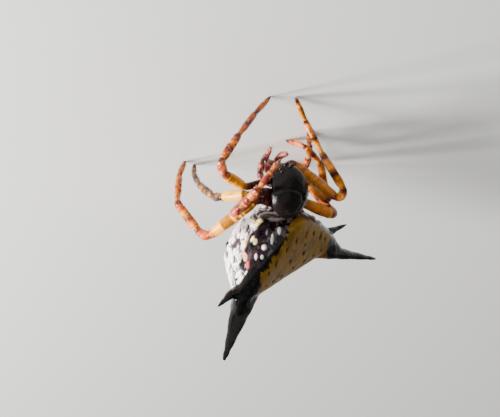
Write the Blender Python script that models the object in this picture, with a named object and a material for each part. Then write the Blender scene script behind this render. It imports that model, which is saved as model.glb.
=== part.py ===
"""A spiny orb weaver spider of the genus Gasteracantha, at life size.

A hard plate with six spines covers the abdomen. The spider stands on the toes of seven
legs with its head low and its abdomen raised. The second left leg is lifted.

Body frame: x to the spider's right, y forward, z to its back. World frame: +Z up, floor
at Z = 0, origin under the middle of the whole model. Sizes are in millimetres; the
finished meshes are in metres.
"""

import math

import bmesh
import bpy
from mathutils import Matrix, Vector

# ---------------------------------------------------------------- driving sizes (mm)
MM = 0.001
SLIT = 0.05                    # open slit between neighbouring parts

BODY_HEIGHT = 4.30             # centre of the carapace above the floor
BODY_PLACE = (-1.005, -2.936)  # the same centre in plan, set so that the model is centred
HEADING, PITCH, ROLL = -177.5, -45.5, 58.3    # attitude of the carapace, degrees
ABDOMEN_TURNS = (32.0, -1.2, -0.8)            # abdomen at the waist: lift, roll, yaw
ABDOMEN_PLACE = (0.0, -4.76, -1.54)           # plate centre, in the body frame

CARAPACE_LENGTH, CARAPACE_WIDTH = 3.4, 3.2
CARAPACE_TOP, CARAPACE_BOTTOM = 1.15, 0.80
SHELL_EDGE = -0.25             # height of the carapace's lower edge
STERNUM_WIDTH, STERNUM_LENGTH = 0.66, 0.78    # its size as shares of the carapace's

PLATE_HALF_WIDTH = 5.95        # abdomen at its widest, between the front side spines
PLATE_CORNER = 0.10            # how far forward that widest point lies

# Cross-sections of the abdomen, bottom to top: height, half width, front reach, rear
# reach, the powers and fullness of the outline, and its share of the shoulder.
ABDOMEN_SECTIONS = (
    (-3.40, 1.20, 1.45, -1.70, 2.0, 2.0, 0.55, 0.1),
    (-3.05, 1.70, 2.10, -2.00, 2.0, 2.0, 0.55, 0.3),
    (-2.40, 2.40, 2.60, -2.40, 2.0, 2.0, 0.60, 0.7),
    (-1.70, 3.20, 2.75, -2.65, 1.9, 2.2, 0.70, 0.9),
    (-1.00, 4.20, 2.80, -2.40, 1.8, 2.3, 0.80, 0.8),
    (-0.35, 5.20, 3.15, -1.75, 1.6, 2.4, 0.90, 0.4),
    (0.12, PLATE_HALF_WIDTH, 3.35, -1.12, 1.5, 2.6, 1.0, 0.0),
    (0.40, 5.80, 3.28, -0.75, 1.5, 2.8, 1.0, 0.0),
    (0.60, 5.25, 2.75, -0.48, 1.6, 3.0, 1.0, 0.0),
    (0.70, 4.20, 2.05, -0.25, 1.8, 3.0, 1.0, 0.0),
    (0.74, 2.20, 1.40, 0.05, 2.0, 2.0, 1.0, 0.0),
)
SHOULDER = 0.80                # how far the flanks bulge forward beside the waist
SADDLE = 0.35                  # rise of the plate's top toward the two long spines

# Spines of the plate: root in the abdomen frame, reach from root to tip, radii, number of
# the ring where the slit is, number of rings, and thickness from front to back as a share
# of the height.
SPINES = {
    "long": dict(root=(3.92, -0.36, -0.06), reach=(5.44, -1.56, 2.27),
                 girth=((0, 0.45), (0.2, 0.68), (0.35, 0.55), (0.675, 0.35), (0.9, 0.21),
                        (1, 0.11)),
                 slit=4, rings=11, flat=0.58),
    "front": dict(root=(5.00, 0.10, -0.25), reach=(2.85, 0.04, 0.40),
                  girth=((0, 0.20), (0.35, 0.28), (0.7, 0.17), (1, 0.08)),
                  slit=3, rings=8, flat=1.0),
    "rear": dict(root=(1.60, -1.30, -0.70), reach=(0.35, -1.40, -0.25),
                 girth=((0, 0.40), (0.6, 0.30), (0.8, 0.20), (1, 0.08)),
                 slit=4, rings=7, flat=1.0),
}

TOE_RADIUS = 0.16
TOE_FLAT = 0.05                # depth of the flat on the sole of each standing toe
SPINNERETS = (((0, -0.55, -2.90), 0.50), ((0, -0.60, -3.35), 0.50),
              ((0, -0.64, -3.65), 0.42), ((0, -0.68, -3.95), 0.18))
# Radii along each segment of a leg, from its near end (0) to its far end (1).
LEG_GIRTH = {
    "coxa": ((0, 0.24), (0.5, 0.25), (1, 0.25)),
    "femur": ((0, 0.27), (0.2, 0.35), (0.6, 0.38), (0.9, 0.33), (1, 0.28)),
    "patella": ((0, 0.27), (0.5, 0.31), (1, 0.27)),
    "tibia": ((0, 0.26), (0.35, 0.30), (0.8, 0.29), (1, 0.25)),
    "metatarsus": ((0, 0.25), (0.5, 0.25), (1, 0.25)),
    "tarsus": ((0, 0.25), (0.7, 0.25), (1, TOE_RADIUS)),
}
SEGMENTS = tuple(LEG_GIRTH)
BEND = 0.40                    # how far from a joint the leg starts to turn
COXA_STARTS = 0.95             # from the hip to the slit between sternum and coxa
PEDICEL_RADIUS = 0.27
PEDICEL = ((0, -0.70, -0.58), (0, -1.38, -0.62), (0, -1.74, -0.66), (0, -2.50, -0.85))

# Where each coxa leaves the body: forward and down, and out to its side.
HIPS = {1: (0.50, 0.84, -0.56), 2: (0.60, 0.12, -0.56),
        3: (0.58, -0.22, -0.62), 4: (0.50, -0.82, -0.54)}

# Each leg: girth, whether it stands, then length, heading and pitch of its six segments,
# in the world frame. Heading is from +X toward +Y and pitch is above level, in degrees.
# A standing leg's last pitch is worked out from the floor.
LEGS = {
    "left_leg_1": (1.00, True, ((2.36, -38, 23), (2.54, -65, 4), (0.74, -82, -61),
                                (2.13, 168, -52), (2.06, 169, -49), (1.38, 171, None))),
    "left_leg_2": (1.00, False, ((1.87, -59, 20), (2.94, -35, 42), (0.98, -121, 9),
                                 (1.79, -136, -10), (1.39, 179, -46), (1.02, 159, -50))),
    "left_leg_3": (0.95, True, ((1.58, -25, -5), (1.95, 10, -12), (0.77, 61, -32),
                                (1.61, 34, -56), (1.44, 73, -59), (1.19, 102, None))),
    "left_leg_4": (1.05, True, ((1.82, -52, 3), (3.93, 26, 14), (0.98, 50, -45),
                                (2.42, -19, -63), (2.19, 146, -76), (1.18, 143, None))),
    "right_leg_1": (1.00, True, ((1.50, 146, -47), (3.67, 153, 44), (0.80, -127, -9),
                                 (2.56, -58, -48), (2.47, -68, -43), (1.55, -77, None))),
    "right_leg_2": (0.95, True, ((1.85, 139, -50), (3.37, 122, 20), (0.92, 74, -78),
                                 (1.99, -91, -34), (1.72, -60, -20), (1.22, 13, None))),
    "right_leg_3": (0.92, True, ((1.66, 120, -31), (2.16, 106, -49), (0.62, 158, -42),
                                 (0.74, -128, -25), (1.39, -99, -7), (0.87, -92, None))),
    "right_leg_4": (1.08, True, ((1.53, 122, -21), (3.19, 129, 2), (0.90, 79, -55),
                                 (2.02, -11, -60), (1.41, -35, -45), (0.87, -40, None))),
}

# Mouthparts and waist, as paths in the body frame with the radius at each point.
CHELICERA = (((0.32, 0.70, -0.56), 0.25), ((0.32, 1.25, -0.62), 0.26),
             ((0.33, 1.55, -0.85), 0.29), ((0.34, 1.72, -1.15), 0.24),
             ((0.33, 1.74, -1.38), 0.13))
LEFT_PALP = (((0.60, 0.60, -0.58), 0.25), ((0.92, 1.02, -0.95), 0.25),
             ((0.98, 1.50, -0.97), 0.25), ((0.80, 2.00, -0.80), 0.25),
             ((0.46, 2.45, -0.52), 0.26), ((0.28, 2.85, -0.28), 0.15))
RIGHT_PALP = (((0.60, 0.60, -0.58), 0.25), ((0.94, 1.05, -0.97), 0.25),
              ((1.02, 1.50, -1.00), 0.25), ((1.04, 1.84, -0.66), 0.25),
              ((0.90, 2.00, -0.26), 0.26), ((0.74, 2.04, 0.10), 0.15))

# Eyes: direction from the middle of the carapace (right, forward, up) and radius.
EYES = {
    "front_middle": ((0.17, 1.60, 0.42), 0.10),
    "back_middle": ((0.22, 1.50, 0.78), 0.11),
    "front_side": ((0.74, 1.40, 0.22), 0.09),
    "back_side": ((0.86, 1.25, 0.38), 0.09),
}

# ---------------------------------------------------------------- finishes
FINISHES = {
    "black_shell": ("#14100F", 0.25),
    "yellow_shell": ("#A07A12", 0.35),
    "leg_orange": ("#C4571F", 0.40),
    "leg_red": ("#7A2A16", 0.40),
    "mouth_red": ("#9A3B22", 0.40),
    "eye_black": ("#070708", 0.08),
}


def material(finish):
    """The named finish as a Principled material, made once."""
    found = bpy.data.materials.get(finish)
    if found:
        return found
    colour, roughness = FINISHES[finish]
    made = bpy.data.materials.new(finish)
    made.use_nodes = True
    shader = made.node_tree.nodes["Principled BSDF"]
    parts = [int(colour[i : i + 2], 16) / 255 for i in (1, 3, 5)]
    shader.inputs["Base Color"].default_value = [c**2.2 for c in parts] + [1.0]
    shader.inputs["Roughness"].default_value = roughness
    return made


# ---------------------------------------------------------------- frames
def attitude():
    """Turns body-frame directions into world directions."""
    turn = Matrix.Rotation(math.radians(HEADING), 3, "Z")
    turn = turn @ Matrix.Rotation(math.radians(PITCH), 3, "X")
    return turn @ Matrix.Rotation(math.radians(ROLL), 3, "Y")


def waist_turn():
    """Turns abdomen-frame directions into body-frame directions."""
    lift, roll, yaw = [math.radians(angle) for angle in ABDOMEN_TURNS]
    turn = Matrix.Rotation(lift, 3, "X") @ Matrix.Rotation(yaw, 3, "Z")
    return turn @ Matrix.Rotation(roll, 3, "Y")


BODY_TURN = attitude()
BODY_CENTRE = Vector((*BODY_PLACE, BODY_HEIGHT))
ABDOMEN_TURN = waist_turn()


def from_body(point):
    """A body-frame point in the world."""
    return BODY_CENTRE + BODY_TURN @ Vector(point)


def from_abdomen(point):
    """An abdomen-frame point in the world. Its z is the plate's upward direction."""
    return from_body(Vector(ABDOMEN_PLACE) + ABDOMEN_TURN @ Vector(point))


def mirrored(point, side):
    return Vector((side * point[0], point[1], point[2]))


# ---------------------------------------------------------------- shared shapes
def add_object(name, bm, finish):
    """Writes the millimetre bmesh as an object in metres."""
    bm.normal_update()
    bmesh.ops.recalc_face_normals(bm, faces=bm.faces)
    bmesh.ops.scale(bm, vec=(MM, MM, MM), verts=bm.verts)
    mesh = bpy.data.meshes.new(name)
    bm.to_mesh(mesh)
    bm.free()
    mesh.shade_smooth()
    mesh.set_sharp_from_angle(angle=math.radians(50))
    made = bpy.data.objects.new(name, mesh)
    made.data.materials.append(material(finish))
    bpy.context.scene.collection.objects.link(made)
    return made


def between(table, t):
    """Reads a table of (position, value) pairs at t with straight steps."""
    for (t0, v0), (t1, v1) in zip(table, table[1:]):
        if t <= t1:
            return v0 + (v1 - v0) * (t - t0) / (t1 - t0)
    return table[-1][1]


def sweep(bm, stations, sides, thin=None, share=1.0):
    """A closed tube through (centre, tangent, radius) stations, with flat ends.

    The tube is pressed along the direction thin to that share of its radius.
    """
    across = stations[0][1].orthogonal().normalized()
    full = math.sqrt(2 * math.pi / (sides * math.sin(2 * math.pi / sides)))
    rings = []
    for centre, tangent, radius in stations:
        tangent = tangent.normalized()
        across = (across - tangent * across.dot(tangent)).normalized()
        up = tangent.cross(across)
        ring = []
        for i in range(sides):
            angle = 2 * math.pi * i / sides
            offset = across * math.cos(angle) + up * math.sin(angle)
            if thin:
                offset -= thin * offset.dot(thin) * (1 - share)
            ring.append(bm.verts.new(centre + offset * radius * full))
        rings.append(ring)
    for near, far in zip(rings, rings[1:]):
        for i in range(sides):
            j = (i + 1) % sides
            bm.faces.new((near[i], near[j], far[j], far[i]))
    bm.faces.new(rings[0][::-1])
    bm.faces.new(rings[-1])


def cut_flat(bm, place, keep):
    """Cuts the mesh by a plane, keeps the side the direction points to, closes the cut."""
    everything = bm.verts[:] + bm.edges[:] + bm.faces[:]
    bmesh.ops.bisect_plane(bm, geom=everything, plane_co=place, plane_no=keep,
                           clear_inner=True)
    bmesh.ops.edgeloop_fill(bm, edges=[edge for edge in bm.edges if edge.is_boundary])


def curve_stations(points, radii, count):
    """Stations along a smooth curve through the points."""
    ends = [2 * points[0] - points[1], *points, 2 * points[-1] - points[-2]]
    stations = []
    for k in range(count):
        s = k / (count - 1) * (len(points) - 1)
        i = min(int(s), len(points) - 2)
        t = s - i
        p0, p1, p2, p3 = ends[i : i + 4]
        centre = 0.5 * (2 * p1 + (p2 - p0) * t + (2 * p0 - 5 * p1 + 4 * p2 - p3) * t * t
                        + (3 * p1 - p0 - 3 * p2 + p3) * t**3)
        tangent = 0.5 * ((p2 - p0) + 2 * (2 * p0 - 5 * p1 + 4 * p2 - p3) * t
                         + 3 * (3 * p1 - p0 - 3 * p2 + p3) * t * t)
        radius = radii[i] + (radii[i + 1] - radii[i]) * t
        stations.append((centre, tangent, radius))
    return stations


def split_at(stations, where):
    """Two runs of stations, on either side of a slit across station number where."""
    centre, tangent, radius = stations[where]
    step = tangent.normalized() * SLIT / 2
    near = stations[:where] + [(centre - step, tangent, radius)]
    far = [(centre + step, tangent, radius)] + stations[where + 1 :]
    return near, far


def join_stubs(host, stubs):
    """Unites the host with the stubs of everything that grows from it.

    A stub is a run of stations, the direction it is pressed along, and by what share.
    """
    for number, (stations, thin, share) in enumerate(stubs):
        bm = bmesh.new()
        sweep(bm, stations, 10, thin, share)
        cutter = add_object(f"{host.name}_stub_{number}", bm, "black_shell")
        cutter.hide_render = True
        cutter.display_type = "WIRE"
        union = host.modifiers.new(f"stub_{number}", "BOOLEAN")
        union.operation = "UNION"
        union.solver = "EXACT"
        union.object = cutter


# ---------------------------------------------------------------- cephalothorax
def carapace_surface(direction):
    """The point where a direction from the middle leaves the cephalothorax."""
    x, y, z = Vector(direction).normalized()
    width = CARAPACE_WIDTH / 2 * (1 - 0.26 * y - 0.12 * y * y)
    height = CARAPACE_TOP * (1 + 0.30 * max(y, 0)) if z > 0 else CARAPACE_BOTTOM
    return Vector((width * x, CARAPACE_LENGTH / 2 * y, height * z))


def make_cephalothorax(stubs):
    """The carapace shell above and the sternum below, parted by a thin cut."""
    for name, side, finish in (("carapace", 1, "black_shell"), ("sternum", -1, "leg_red")):
        bm = bmesh.new()
        bmesh.ops.create_uvsphere(bm, u_segments=24, v_segments=14, radius=1)
        for vert in bm.verts:
            vert.co = carapace_surface(vert.co)
        cut_flat(bm, (0, 0, SHELL_EDGE + side * SLIT / 2), (0, 0, side))
        if side < 0:
            bmesh.ops.scale(bm, vec=(STERNUM_WIDTH, STERNUM_LENGTH, 1), verts=bm.verts)
        for vert in bm.verts:
            vert.co = from_body(vert.co)
        made = add_object(name, bm, finish)
        if side < 0:
            join_stubs(made, stubs)


def make_eye(name, direction, radius):
    """Half a ball that looks straight out of the carapace."""
    here = carapace_surface(direction)
    step = 0.01
    across = Vector(direction).orthogonal().normalized()
    along = Vector(direction).cross(across).normalized()
    right = carapace_surface(Vector(direction) + across * step) - here
    up = carapace_surface(Vector(direction) + along * step) - here
    out = right.cross(up).normalized()
    if out.dot(here) < 0:
        out = -out
    bm = bmesh.new()
    bmesh.ops.create_uvsphere(bm, u_segments=10, v_segments=8, radius=radius)
    cut_flat(bm, (0, 0, 0), (0, 0, 1))
    turn = out.to_track_quat("Z", "Y").to_matrix()
    for vert in bm.verts:
        vert.co = from_body(here + out * SLIT + turn @ vert.co)
    add_object(name, bm, "eye_black")


def make_mouthparts():
    """Chelicerae and palps. Returns the stubs that stay on the sternum."""
    stubs = []
    for side, word, palp in ((-1, "left", LEFT_PALP), (1, "right", RIGHT_PALP)):
        for name, path, sides, slit in (("chelicera", CHELICERA, 10, 2),
                                        ("palp", palp, 8, 3)):
            points = [from_body(mirrored(point, side)) for point, _ in path]
            radii = [radius for _, radius in path]
            stations = curve_stations(points, radii, 2 * len(path) + 1)
            near, far = split_at(stations, slit)
            stubs.append((near, None, 1.0))
            bm = bmesh.new()
            sweep(bm, far, sides)
            add_object(f"{word}_{name}", bm, "mouth_red")
    return stubs


# ---------------------------------------------------------------- legs
def toe_pitch(height, length):
    """The slope that sets the rim of a standing toe just below the floor."""
    pitch = -45.0
    for _ in range(20):
        toe = TOE_RADIUS * math.cos(math.radians(pitch)) - TOE_FLAT
        pitch = math.degrees(math.asin((toe - height) / length))
    return pitch


def leg_joints(name):
    """The seven joints of a leg, from its root in the body to its toe."""
    side = -1 if name.startswith("left") else 1
    girth, stands, segments = LEGS[name]
    out, forward, up = HIPS[int(name[-1])]
    joints = [from_body((side * out, forward, up))]
    for length, heading, pitch in segments:
        if pitch is None:
            pitch = toe_pitch(joints[-1].z, length)
        heading, pitch = math.radians(heading), math.radians(pitch)
        level = length * math.cos(pitch)
        step = (level * math.cos(heading), level * math.sin(heading),
                length * math.sin(pitch))
        joints.append(joints[-1] + Vector(step))
    return joints


def leg_stations(joints, girth):
    """Stations along a leg, with its bends rounded, and the station at each joint."""
    stations, marks = [], []
    count = len(joints) - 1
    for k, segment in enumerate(SEGMENTS):
        start, end = joints[k], joints[k + 1]
        length = (end - start).length
        along = (end - start) / length
        turn = min(BEND, 0.45 * length)
        first = 0.0 if k == 0 else turn
        last = length if k == count - 1 else length - turn
        profile = LEG_GIRTH[segment]
        steps = 2 if last - first < 1.0 else 3
        places = [first + (last - first) * i / steps for i in range(steps + 1)]
        if k == 0:
            places = [0.0, COXA_STARTS, last]
        for s in places:
            stations.append((start + along * s, along, girth * between(profile, s / length)))
        if k < count - 1:
            onward = (joints[k + 2] - end).normalized()
            after = min(BEND, 0.45 * (joints[k + 2] - end).length)
            middle = (end - along * turn) * 0.25 + end * 0.5 + (end + onward * after) * 0.25
            marks.append(len(stations))
            stations.append((middle, along + onward, girth * profile[-1][1]))
    return stations, marks


def make_leg(name):
    """Four nodes: coxa, femur, tibia with its knee, and foot. Returns the coxa's stub."""
    girth, stands, _ = LEGS[name]
    stations, marks = leg_stations(leg_joints(name), girth)
    stub, rest = split_at(stations, 1)
    runs = []
    taken = len(stations) - len(rest)
    for mark in (marks[0], marks[1], marks[3]):
        near, rest = split_at(rest, mark - taken)
        taken = mark
        runs.append(near)
    runs.append(rest)
    for word, run in zip(("coxa", "femur", "tibia", "foot"), runs):
        bm = bmesh.new()
        sweep(bm, run, 10 if word in ("coxa", "femur") else 8)
        if stands and word == "foot":
            cut_flat(bm, (0, 0, 0), (0, 0, 1))
        add_object(f"{name}_{word}", bm, "leg_red" if word == "coxa" else "leg_orange")
    return stub, None, 1.0


# ---------------------------------------------------------------- abdomen
def abdomen_ring(section, count):
    """One closed outline of the abdomen at a height, in the abdomen frame."""
    height, half_width, front, rear, front_power, rear_power, fullness, share = section
    points = []
    for i in range(count):
        angle = 2 * math.pi * i / count
        x = math.cos(angle)
        reach = front if math.sin(angle) >= 0 else rear
        power = front_power if math.sin(angle) >= 0 else rear_power
        y = PLATE_CORNER + (reach - PLATE_CORNER) * (1 - abs(x) ** power) ** fullness
        if height < -1:
            y = (front + rear) / 2 + (front - rear) / 2 * math.sin(angle)
        if math.sin(angle) > 0:
            y += SHOULDER * share * 4 * abs(x) * (1 - abs(x))
        rise = SADDLE * (x * half_width / PLATE_HALF_WIDTH) ** 2 if height > 0.5 else 0
        points.append(Vector((half_width * x, y, height + rise)))
    return points


def spine_stations(kind, side):
    """Stations of a plate spine from its root inside the abdomen to its tip."""
    spine = SPINES[kind]
    root, reach = mirrored(spine["root"], side), mirrored(spine["reach"], side)
    tangent = BODY_TURN @ ABDOMEN_TURN @ reach
    stations = []
    for k in range(spine["rings"]):
        t = k / (spine["rings"] - 1)
        stations.append((from_abdomen(root + reach * t), tangent, between(spine["girth"], t)))
    return split_at(stations, spine["slit"])


def make_abdomen(extra_stubs):
    """The abdomen with its plate, and the six spines as parts of their own."""
    bm = bmesh.new()
    count = 32
    rings = []
    for section in ABDOMEN_SECTIONS:
        ring = [bm.verts.new(from_abdomen(p)) for p in abdomen_ring(section, count)]
        rings.append(ring)
    for low, high in zip(rings, rings[1:]):
        for i in range(count):
            j = (i + 1) % count
            bm.faces.new((low[i], low[j], high[j], high[i]))
    bm.faces.new(rings[0][::-1])
    bm.faces.new(rings[-1])
    made = add_object("abdomen", bm, "yellow_shell")
    stubs = list(extra_stubs)
    for kind in SPINES:
        for side, word in ((-1, "left"), (1, "right")):
            near, far = spine_stations(kind, side)
            thin = (BODY_TURN @ ABDOMEN_TURN @ Vector((0, 1, 0))).normalized()
            stubs.append((near, thin, SPINES[kind]["flat"]))
            spine = bmesh.new()
            sweep(spine, far, 10, thin, SPINES[kind]["flat"])
            add_object(f"{word}_{kind}_spine", spine, "black_shell")
    join_stubs(made, stubs)


def make_spinnerets():
    """The short cone of spinnerets under the abdomen. Returns its stub."""
    points = [from_abdomen(point) for point, _ in SPINNERETS]
    stations = curve_stations(points, [radius for _, radius in SPINNERETS], 7)
    near, far = split_at(stations, 3)
    bm = bmesh.new()
    sweep(bm, far, 10)
    add_object("spinnerets", bm, "black_shell")
    return near, None, 1.0


def make_pedicel():
    """The waist between the two halves of the body. Returns its two stubs."""
    points = [from_body(point) for point in PEDICEL]
    stations = curve_stations(points, [PEDICEL_RADIUS] * len(points), 2 * len(points) - 1)
    front, rest = split_at(stations, 2)
    middle, back = split_at(rest, 2)
    bm = bmesh.new()
    sweep(bm, middle, 10)
    add_object("pedicel", bm, "black_shell")
    return (front, None, 1.0), (back, None, 1.0)


# ---------------------------------------------------------------- the whole spider
def main():
    for old in list(bpy.data.objects):
        bpy.data.objects.remove(old)
    front_stub, back_stub = make_pedicel()
    body_stubs = [front_stub]
    body_stubs += make_mouthparts()
    body_stubs += [make_leg(name) for name in LEGS]
    make_cephalothorax(body_stubs)
    for place, (direction, radius) in EYES.items():
        for side, word in ((-1, "left"), (1, "right")):
            make_eye(f"{word}_{place}_eye", mirrored(direction, side), radius)
    make_abdomen([back_stub, make_spinnerets()])


main()
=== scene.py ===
# %% [markdown]
# # A spiny orb weaver, still model at life size
#
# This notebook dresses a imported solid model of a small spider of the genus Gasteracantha.
# The solids give every place and size. Each step below looks at one part of the real
# animal, says how it could be made in Blender, and then makes it. The hard skin of a
# spider is a shell, so there is little cloth or fur here: most pieces are glossy chitin.

# %% The frame
import math

import bmesh
import bpy
from mathutils import Matrix, Vector, noise


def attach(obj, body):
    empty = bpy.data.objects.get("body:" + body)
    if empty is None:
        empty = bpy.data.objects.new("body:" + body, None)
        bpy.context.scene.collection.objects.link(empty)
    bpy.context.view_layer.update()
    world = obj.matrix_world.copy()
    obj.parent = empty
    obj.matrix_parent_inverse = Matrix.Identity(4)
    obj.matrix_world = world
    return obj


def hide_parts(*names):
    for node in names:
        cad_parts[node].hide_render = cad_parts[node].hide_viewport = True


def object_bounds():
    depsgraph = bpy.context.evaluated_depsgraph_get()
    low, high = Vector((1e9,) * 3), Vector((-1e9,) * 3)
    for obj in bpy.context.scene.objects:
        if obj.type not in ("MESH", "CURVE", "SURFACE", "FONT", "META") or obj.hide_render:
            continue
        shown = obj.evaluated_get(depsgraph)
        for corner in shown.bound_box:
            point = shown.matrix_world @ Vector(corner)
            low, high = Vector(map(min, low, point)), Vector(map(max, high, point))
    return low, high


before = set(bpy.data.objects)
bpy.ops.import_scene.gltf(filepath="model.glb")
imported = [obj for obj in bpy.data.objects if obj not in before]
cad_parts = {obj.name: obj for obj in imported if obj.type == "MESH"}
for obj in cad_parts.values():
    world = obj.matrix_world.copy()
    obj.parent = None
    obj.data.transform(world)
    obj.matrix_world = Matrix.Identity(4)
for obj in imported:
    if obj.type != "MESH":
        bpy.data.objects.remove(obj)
cad_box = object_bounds()
MM = 0.001
print("solid model:", [round((b - a) / MM, 2) for a, b in zip(*cad_box)], "mm")

# %% [markdown]
# The spider's own axes make its body symmetric: x to its right, y forward, z to its back.
# The abdomen turns against the front body at a narrow waist, so it gets axes of its own.
# All work is done in millimetres and each finished mesh is scaled to metres once.

# %% The body's own axes
BODY_CENTRE = Vector((-1.005, -2.936, 4.30))
HEADING, PITCH, ROLL = -177.5, -45.5, 58.3
LIFT, WAIST_ROLL, YAW = 32.0, -1.2, -0.8
WAIST_PLACE = Vector((0.0, -4.76, -1.54))


def turned(angle, axis):
    return Matrix.Rotation(math.radians(angle), 3, axis)


BODY_TURN = turned(HEADING, "Z") @ turned(PITCH, "X") @ turned(ROLL, "Y")
ABDOMEN_TURN = turned(LIFT, "X") @ turned(YAW, "Z") @ turned(WAIST_ROLL, "Y")


def from_body(point):
    """A point of the front body's axes in the world."""
    return BODY_CENTRE + BODY_TURN @ Vector(point)


def from_abdomen(point):
    """A point of the abdomen's axes in the world."""
    return from_body(WAIST_PLACE + ABDOMEN_TURN @ Vector(point))


def place_all(bm, to_world):
    """Moves all points of a bmesh into the world by one of the functions above."""
    for vert in bm.verts:
        vert.co = to_world(vert.co)


SIDES = ((-1, "left"), (1, "right"))


def mirrored(point, side):
    """A point of the right side (1), or the same point on the left side (-1)."""
    return Vector((side * point[0], point[1], point[2]))


PLATE_UP = BODY_TURN @ ABDOMEN_TURN @ Vector((0, 0, 1))
print("the plate looks toward", [round(v, 2) for v in PLATE_UP])

# %% [markdown]
# Colours are given as the hex values that a screen shows. Blender mixes light in linear
# values, so one function turns the hex into linear before anything is painted with it.

# %% Colours
def linear(code):
    """A hex colour as linear red, green and blue."""
    parts = [int(code[i : i + 2], 16) / 255 for i in (1, 3, 5)]
    return Vector([c / 12.92 if c <= 0.04045 else ((c + 0.055) / 1.055) ** 2.4
                   for c in parts])


def ramp(table, t):
    """Reads a table of (position, value) pairs with soft steps between them."""
    if t <= table[0][0]:
        return table[0][1]
    for (t0, v0), (t1, v1) in zip(table, table[1:]):
        if t <= t1:
            share = (t - t0) / (t1 - t0)
            share = share * share * (3 - 2 * share)
            return v0 + (v1 - v0) * share
    return table[-1][1]


def smooth(low, high, value):
    """0 below low, 1 above high, and a soft step between."""
    t = min(max((value - low) / (high - low), 0.0), 1.0)
    return t * t * (3 - 2 * t)


# This gold is darkened partly by painted shade.
print("the plate's gold in linear:", [round(c, 3) for c in linear("#8A6400")])

# %% [markdown]
# Chitin is the horn-like stuff of a spider's shell, with an IOR near 1.56. Each material
# reads a colour painted on the mesh points, breaks it with fine noise, and gets its gloss
# and bump from the same small set of nodes. One function adds a node and its links.

# %% Adding a node
def add_node(tree, kind, settings=None, **links):
    """A node with its settings. An input is given by name, with _ for a space, or as i0."""
    node = tree.nodes.new(kind)
    for key, value in (settings or {}).items():
        setattr(node, key, value)
    for key, value in links.items():
        numbered = key[0] == "i" and key[1:].isdigit()
        socket = node.inputs[int(key[1:]) if numbered else key.replace("_", " ")]
        if isinstance(value, bpy.types.NodeSocket):
            tree.links.new(value, socket)
        else:
            socket.default_value = value
    return node


def new_material(name):
    """An empty material with its Principled shader."""
    made = bpy.data.materials.new(name)
    made.use_nodes = True
    return made, made.node_tree, made.node_tree.nodes["Principled BSDF"]


# %% Chitin that takes its colour from the mesh
def chitin(name, gloss_black, gloss_pale, grain_mm, bump, specular, subsurface=0.0):
    """Shell painted by the point colour "tint". Its dark parts are the glossiest."""
    made, tree, shader = new_material(name)
    tint = add_node(tree, "ShaderNodeVertexColor", {"layer_name": "tint"})
    place = add_node(tree, "ShaderNodeTexCoord")
    grain = add_node(tree, "ShaderNodeTexNoise", Vector=place.outputs["Object"],
                     Scale=1 / (grain_mm * MM), Detail=4.0, Roughness=0.6)
    shade = add_node(tree, "ShaderNodeMapRange", Value=grain.outputs["Fac"],
                     From_Min=0.3, From_Max=0.7, To_Min=0.74, To_Max=1.2)
    colour = add_node(tree, "ShaderNodeVectorMath", {"operation": "SCALE"},
                      i0=tint.outputs["Color"], Scale=shade.outputs["Result"])
    light = add_node(tree, "ShaderNodeRGBToBW", Color=tint.outputs["Color"])
    gloss = add_node(tree, "ShaderNodeMapRange", Value=light.outputs["Val"], From_Min=0.01,
                     From_Max=0.2, To_Min=gloss_black, To_Max=gloss_pale)
    uneven = add_node(tree, "ShaderNodeMapRange", Value=grain.outputs["Fac"],
                      From_Min=0.3, From_Max=0.7, To_Min=0.8, To_Max=1.25)
    rough = add_node(tree, "ShaderNodeMath", {"operation": "MULTIPLY"},
                     i0=gloss.outputs["Result"], i1=uneven.outputs["Result"])
    fine = add_node(tree, "ShaderNodeTexNoise", Vector=place.outputs["Object"],
                    Scale=2.2 / (grain_mm * MM), Detail=3.0)
    relief = add_node(tree, "ShaderNodeBump", Height=fine.outputs["Fac"],
                      Strength=bump, Distance=0.05 * MM)
    tree.links.new(colour.outputs["Vector"], shader.inputs["Base Color"])
    tree.links.new(rough.outputs["Value"], shader.inputs["Roughness"])
    tree.links.new(relief.outputs["Normal"], shader.inputs["Normal"])
    shader.inputs["IOR"].default_value = 1.56
    shader.inputs["Specular IOR Level"].default_value = specular
    if subsurface:
        shader.inputs["Subsurface Weight"].default_value = subsurface
        shader.inputs["Subsurface Radius"].default_value = (1.0, 0.4, 0.1)
        shader.inputs["Subsurface Scale"].default_value = 0.2 * MM
    return made


PLATE_CHITIN = chitin("abdomen_chitin", 0.22, 0.5, 0.5, 0.4, 0.16)
LEG_CHITIN = chitin("leg_chitin", 0.25, 0.34, 0.25, 0.35, 0.30, subsurface=0.1)
SHELL_CHITIN = chitin("carapace_chitin", 0.20, 0.4, 0.22, 0.4, 0.14)
print("materials:", PLATE_CHITIN.name, LEG_CHITIN.name, SHELL_CHITIN.name)

# %% [markdown]
# A finished piece is one mesh at the origin, in metres. The helper below writes the
# points' colours, scales the mesh, puts it on the frame's root and hides the solids that it
# stands for. Where a piece was cut from a larger skin, the skin's own normals are kept, so
# no cut shows.

# %% Finishing a piece
CAP_SIDES = 25  # a face with more sides than this closes a cut, and stays flat


def tint_layer(bm):
    """The layer of point colours that the materials read."""
    layers = bm.verts.layers.float_color
    return layers.get("tint") or layers.new("tint")


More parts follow.
